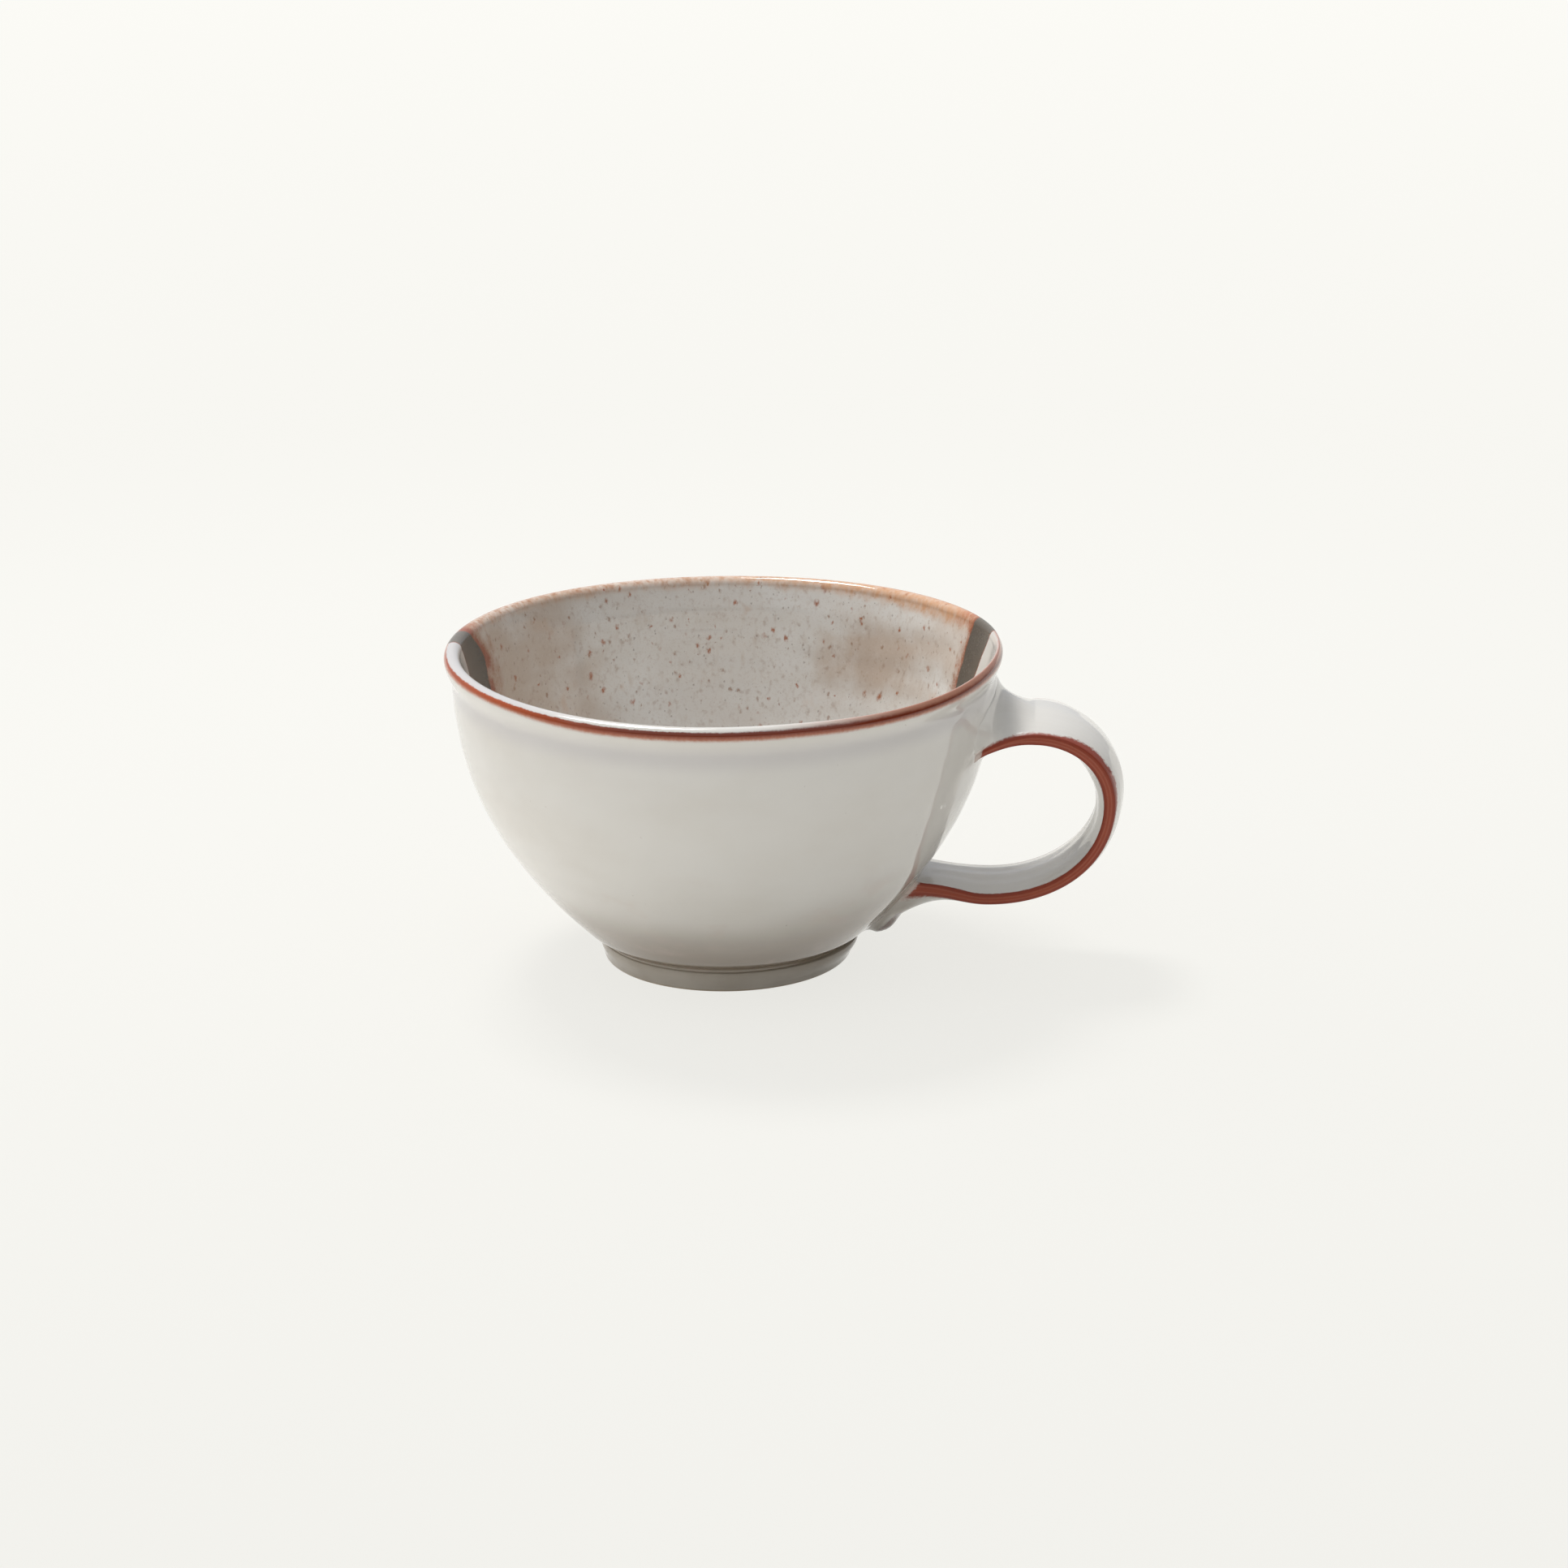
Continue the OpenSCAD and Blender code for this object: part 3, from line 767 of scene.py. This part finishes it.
def bowlGlaze():
    g = Finish(bpy.data.materials.new("glazedBowl"))
    x, y, z = g.axes()
    crest = g.attribute("crest")
    grain = g.cloud(0.42, 3.0)
    patches = g.cloud(26, 3.0, (1, 1, 1.8))
    blotch = g.cloud(3.0, 3.0, (1, 1, 0.7), (6, 2, 9))
    streaks = g.specks(2.2, 0.6, 0.5, (3, 9, 4), 0.5, 0.8)
    edge = g.cloud(4, 2.0) * 0.25 + grain * 0.22
    # the band narrows in front on the right, down the inside, and behind on the left, mostly over the
    # lip and outside
    narrow = crest.maths("MAXIMUM", crest, 0.0) * g.fade(x, 0, 30) * 0.2
    waist = (g.fade(crest, 8, -1) * 4.4 + 0.8) * g.fade(x, 0, -30)
    inFront = y - (x * glaze["bandFront"][1] + glaze["bandFront"][0]) + edge - narrow
    behind = y - (x * glaze["bandRear"][1] + glaze["bandRear"][0]) + edge + waist
    white = lipLine(g, frontCoat(g, x, z, crest, patches), x, crest, blotch)
    grey = rearRust(g, rearCoat(g, x, z, behind, grain), x, crest, behind, blotch, grain, streaks)
    isDark = g.fade(inFront, -0.15, 0.2)
    isRear = g.fade(behind, -0.35, 0.3)
    colour = g.blend(isDark, white, darkCoat(g, crest, inFront, grain))
    colour = g.blend(isRear, colour, grey)
    roughness = 0.04 + 0.025 * g.fade(patches, -0.6, 0.6) + isDark * (1 - isRear) * 0.16
    return g.surface(colour, roughness, glaze["ior"], g.cloud(9, 1.0), 0.01)


def handleGlaze():
    g = Finish(bpy.data.materials.new("glazedHandle"))
    rim = g.attribute("rim")
    wall = g.attribute("wall")
    run = g.attribute("run")
    along = g.node("ShaderNodeCombineXYZ", {}, {0: g.attribute("across") * 1.1, 1: run * 0.07})
    pull = g.noise(along, 3.0)
    patches = g.cloud(22, 3.0)
    white = g.blend(g.fade(patches + pull * 0.6, -0.4, 0.9) * 0.4, glaze["white"], glaze["whiteWarm"])
    spread = g.fade(run, 15, 24) * g.fade(run, 40, 31)      # wider and more ragged over the bend
    ragged = (g.cloud(0.5, 3.0) * 0.4 + g.cloud(3.0, 2.0) * 0.25) * (1 + spread * 1.2)
    edge = rim + ragged + spread * 1.5 + 0.15
    fine = g.node("ShaderNodeCombineXYZ", {}, {0: g.attribute("across") * 3.2, 1: run * 0.06})
    tone = g.blend(g.fade(rim + pull * 0.3, 0.1, 0.9) * 0.75, glaze["rustDark"], glaze["rust"])
    tone = g.blend(g.fade(g.noise(fine, 2.0), 0.15, 0.6) * 0.35, tone, glaze["rustLight"])
    # a pale line down the middle of each rust edge: a painted highlight
    tone = g.blend(g.fade(abs(rim - 0.75), 0.22, 0.05) * 0.4, tone, glaze["rustPale"])
    tone = g.blend(0.45, tone, glaze["rustDeep"])
    grains = g.fade(g.cloud(0.45, 3.0, (1, 1, 1), (3, 8, 1)), 0.0, 0.6)
    tone = g.blend(grains * 0.35, tone, glaze["rustDark"])
    onEdge = g.fade(edge, -0.8, 0.15) * g.fade(wall + ragged, 0.8, 1.4)
    colour = g.blend(g.fade(rim + ragged * 2.5, -1.1 - spread, -0.2) * 0.35, white, glaze["rustPale"])
    colour = g.blend(onEdge, colour, tone)
    tip = g.attribute("tip")
    colour = g.blend(g.fade(tip, 7, 2) * 0.7, colour, glaze["whiteFoot"])
    colour = g.blend(g.fade(tip + ragged, 1.5, 0.7) * 0.9, colour, glaze["toeBrown"])
    roughness = 0.04 + 0.025 * g.fade(patches, -0.6, 0.6) + g.fade(rim, -1.3, -0.5) * 0.4
    return g.surface(colour, roughness, glaze["handleIor"], g.cloud(9, 1.0), 0.005)


# glazed down to the bare clay that stands on the table
def footGlaze():
    g = Finish(bpy.data.materials.new("glazedFoot"))
    z = g.axes()[2]
    patches = g.cloud(12, 3.0)
    coat = g.blend(g.fade(patches, -0.5, 0.8) * 0.5 + 0.3, glaze["whiteWarm"], glaze["whiteFoot"])
    # darker towards the top of the ring: painted shade in the groove under the bowl
    coat = g.blend(g.fade(z, 2.8, 4.3) * 0.3, coat, glaze["whiteFoot"])
    clay = g.blend(g.specks(1.6, 0.35, 0.4) * 0.8, glaze["clay"], glaze["pepper"])
    bare = g.fade(z + g.cloud(2.0, 2.0) * 0.15, 0.6, 0.3)
    roughness = 0.12 + 0.6 * bare
    colour = g.blend(bare, coat, clay)
    return g.surface(colour, roughness, glaze["ior"], g.cloud(0.9, 3.0) * bare, 0.03)


bowlMesh, crestLayer = addBowl()
throwBowl(bowlMesh, crestLayer)
handleMesh = addHandle()
weldHandle(bowlMesh, crestLayer, handleMesh)
swellToe(handleMesh)
bowlPiece = addPiece(bowlMesh, "glazedBowl",
                     ["bowl", "front_glaze", "rear_glaze", "dark_band", "lip_line"])
bowlPiece.data.materials.append(bowlGlaze())
handlePiece = addPiece(handleMesh, "pulledHandle",
                       ["handle_strap", "upper_root", "lower_root",
                        "upper_slip", "lower_slip", "edge_lines"])
handlePiece.data.materials.append(handleGlaze())
footPiece = addPiece(addFoot(), "footRing", ["foot_ring"])
footPiece.data.materials.append(footGlaze())
print("pieces dressed")


view = {
    "distance": 850 * mm,
    "elevation": math.radians(18.015),
    "azimuth": math.radians(4),
    "roll": math.radians(-0.518),
    "aim": Vector((11.63, 0.81, 34.80)) * mm,
    "focal": 5269.4,                # in pixels of the picture
    "picture": 1932,
    "sensor": 36,
    "clip": (0.01, 50),
}


def addCamera():
    camera = bpy.data.cameras.new("camera")
    camera.sensor_width = view["sensor"]
    camera.lens = view["sensor"] * view["focal"] / view["picture"]
    camera.clip_start, camera.clip_end = view["clip"]
    holder = bpy.data.objects.new("camera", camera)
    a, e = view["azimuth"], view["elevation"]
    back = Vector((math.sin(a) * math.cos(e), -math.cos(a) * math.cos(e), math.sin(e)))
    holder.location = view["aim"] + back * view["distance"]
    holder.rotation_mode = "QUATERNION"
    holder.rotation_quaternion = (-back).to_track_quat("-Z", "Y") @ Quaternion((0, 0, 1), view["roll"])
    bpy.context.scene.collection.objects.link(holder)
    bpy.context.scene.camera = holder


studio = {
    "floorSize": 12.0,
    "near": tint(241, 240, 235),
    "middle": tint(246, 245, 240),
    "far": tint(253, 252, 247),
    "depths": (-0.35, 1.7),         # where the floor looks near and where it looks far
    "middleAt": 0.2,
    "shadowShare": 0.16,            # how much of the floor's look answers to the lamps
    "shadowReach": (0.18, 0.5),
    "litLevel": 0.75,
    "bounce": tint(243, 241, 236),
}


def addFloor():
    bm = bmesh.new()
    bmesh.ops.create_grid(bm, x_segments=1, y_segments=1, size=studio["floorSize"] / 2)
    mesh = bpy.data.meshes.new("floor")
    bm.to_mesh(mesh)
    bm.free()
    floor = bpy.data.objects.new("floor", mesh)
    bpy.context.scene.collection.objects.link(floor)
    f = Finish(bpy.data.materials.new("floor"))
    spot = f.node("ShaderNodeTexCoord", output="Object")
    y = f.node("ShaderNodeSeparateXYZ", {}, {0: spot}, 1)
    front, back = studio["depths"]
    depth = f.node("ShaderNodeMapRange", {}, {0: y, 1: front, 2: back})
    stops = [(0, studio["near"]), (studio["middleAt"], studio["middle"]), (1, studio["far"])]
    pale = f.node("ShaderNodeValToRGB", {"stops": stops}, {0: depth})
    ray = f.node("ShaderNodeLightPath")
    shows = f.node("ShaderNodeMath", {"operation": "ADD", "use_clamp": True},
                   {0: ray + ray.also("Is Glossy Ray"), 1: ray.also("Is Transmission Ray")})
    away = f.node("ShaderNodeVectorMath", {"operation": "LENGTH"}, {0: spot}, "Value")
    near, far = studio["shadowReach"]
    shaded = f.fade(away, far, near) * studio["shadowShare"]
    lit = f.blend(studio["litLevel"], (0, 0, 0, 1), pale)
    matte = f.node("ShaderNodeBsdfDiffuse", {}, {"Color": f.blend(shows, studio["bounce"], lit)})
    glow = f.node("ShaderNodeEmission", {}, {"Color": pale, "Strength": 1.0})
    mixed = f.node("ShaderNodeMixShader", {}, {0: shows * (1 - shaded), 1: matte, 2: glow})
    f.node("ShaderNodeOutputMaterial", {}, {"Surface": mixed})
    floor.data.materials.append(f.owner)


# the pale room round the cup: light from each side, strongest in the middle of that side
room = {
    "back": {"towards": (0.0, 0.97, 0.24), "light": (0.62, 0.64, 0.68)},
    "front": {"towards": (0.0, -0.94, 0.34), "light": (0.05, 0.05, 0.05)},
    "left": {"towards": (-0.97, 0.0, 0.24), "light": (0.30, 0.30, 0.30)},
    "right": {"towards": (0.97, 0.0, 0.24), "light": (0.03, 0.03, 0.03)},
    "ceiling": {"towards": (0.0, 0.0, 1.0), "light": (0.78, 0.80, 0.83)},
}


def addRoom():
    world = bpy.data.worlds.new("studio")
    bpy.context.scene.world = world
    w = Finish(world)
    heading = w.node("ShaderNodeTexCoord", output="Generated")
    light = (0, 0, 0)
    for side in room.values():
        facing = w.node("ShaderNodeVectorMath", {"operation": "DOT_PRODUCT"},
                        {0: heading, 1: side["towards"]}, "Value")
        share = facing.maths("MAXIMUM", facing, 0.0) * facing
        glow = w.node("ShaderNodeVectorMath", {"operation": "SCALE"}, {0: side["light"], "Scale": share})
        light = w.node("ShaderNodeVectorMath", {"operation": "ADD"}, {0: light, 1: glow})
    seen = w.node("ShaderNodeLightPath")
    ambient = w.node("ShaderNodeBackground", {}, {"Color": light})
    backdrop = w.node("ShaderNodeBackground", {}, {"Color": studio["far"]})
    mixed = w.node("ShaderNodeMixShader", {}, {0: seen, 1: ambient, 2: backdrop})
    w.node("ShaderNodeOutputWorld", {}, {"Surface": mixed})


lamps = {
    "key": {"from": (-0.41, 0.61, 1.51), "size": (0.5, 0.45), "power": 22,
            "tint": (1.0, 0.99, 0.97), "mirrored": True},
    "side": {"from": (-1.6, 0.1, 0.7), "size": (2.6, 1.5), "power": 13,
             "tint": (0.98, 0.99, 1.0), "mirrored": False},
    "window": {"from": (0.0, -1.18, 0.96), "size": (4.6, 1.5), "power": 7.5,
               "tint": (0.96, 0.98, 1.0), "mirrored": True},
}


def addLamps():
    for name, lamp in lamps.items():
        light = bpy.data.lights.new(name, "AREA")
        light.shape = "RECTANGLE"
        light.size, light.size_y = lamp["size"]
        light.energy = lamp["power"]
        light.color = lamp["tint"]
        holder = bpy.data.objects.new(name, light)
        holder.location = lamp["from"]
        holder.rotation_mode = "QUATERNION"
        holder.rotation_quaternion = (view["aim"] - Vector(lamp["from"])).to_track_quat("-Z", "Y")
        holder.visible_camera = False
        holder.visible_glossy = lamp["mirrored"]
        bpy.context.scene.collection.objects.link(holder)


addCamera()
addFloor()
addRoom()
addLamps()
bpy.context.scene.view_settings.view_transform = "Standard"
print("studio set")
